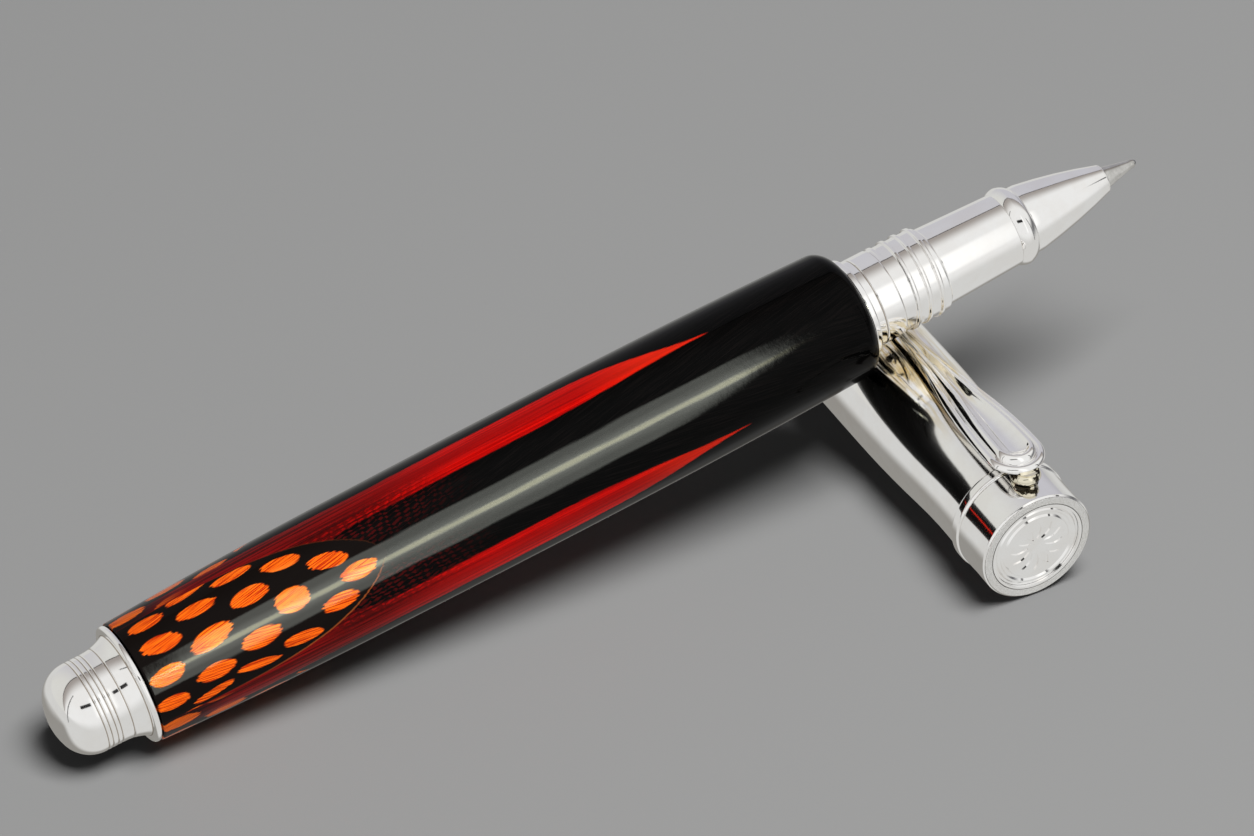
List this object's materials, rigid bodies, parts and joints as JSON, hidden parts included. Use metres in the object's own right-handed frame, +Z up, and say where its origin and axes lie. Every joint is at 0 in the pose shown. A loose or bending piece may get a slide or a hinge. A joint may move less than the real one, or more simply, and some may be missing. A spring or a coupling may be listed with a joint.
{
  "type": "rollerball pen",
  "caption": "Uncapped rollerball pen with a feather-patterned cast resin barrel and polished metal fittings, lying propped on its own cap with a teardrop clip.",
  "frame": {"origin": "on the table under the middle of the whole part's bounding box, pen and cap together", "axes": "+Z up off the table; +X along the pen in plan, from the rear finial to the writing point; +Y across it, towards the cap's open mouth"},
  "size_m": [0.1296, 0.0428, 0.0266],
  "materials": {
    "silver": "polished silver plate",
    "end_silver": "polished silver plate with a satin end face",
    "medallion": "stepped polished disc",
    "resin": "polished clear cast resin over dark feathers",
    "feather": "barbed feather vane",
    "brass": "turned brass",
    "steel": "drawn steel",
    "carbide": "ground carbide",
    "refill_plastic": "moulded",
    "fibre": "ink-soaked fibre",
    "liner": "moulded"
  },
  "bodies": {
    "barrel": {"resin_barrel": "resin", "feather_wrap": "feather", "barrel_tube": "brass", "rear_bushing": "brass", "finial": "silver", "coupler_ring": "silver", "front_coupler": "silver", "refill_spring": "steel"},
    "refill": {"refill_tube": "refill_plastic", "refill_plug": "refill_plastic", "ink_fibre": "fibre", "refill_feed": "refill_plastic", "refill_tip": "steel"},
    "section": {"grip_section": "silver", "grip_bead": "silver", "nose_cone": "silver"},
    "point": {"writing_ball": "carbide"},
    "cap": {"cap_tube": "silver", "cap_finial": "end_silver", "cap_medallion": "medallion", "cap_ring": "silver", "cap_thread_insert": "brass", "cap_bushing": "brass", "cap_liner": "liner", "clip": "silver", "clip_post": "silver"}
  },
  "joints": [
    {"name": "refill_feed_out", "type": "slide", "parent": "barrel", "child": "refill", "axis": [0.9889, 0, 0.1485], "range_m": [0, 0.006]},
    {"name": "section_turn", "type": "hinge", "parent": "refill", "child": "section", "pos_m": [0.0391, 0.00861, 0.02068], "axis": [0.9889, 0, 0.1485], "range_deg": [0, 2160]},
    {"name": "ball_roll", "type": "hinge", "parent": "refill", "child": "point", "pos_m": [0.06446, 0.00861, 0.02449], "axis": [0, 1, 0], "continuous": true},
    {"name": "cap_slide", "type": "slide", "parent": "barrel", "child": "cap", "axis": [-0.0279, -0.9996, 0], "range_m": [0, 0.06]}
  ],
  "couplings": [
    {"joint": "section_turn", "follows": "refill_feed_out", "rad_per_m": 6283.2}
  ]
}
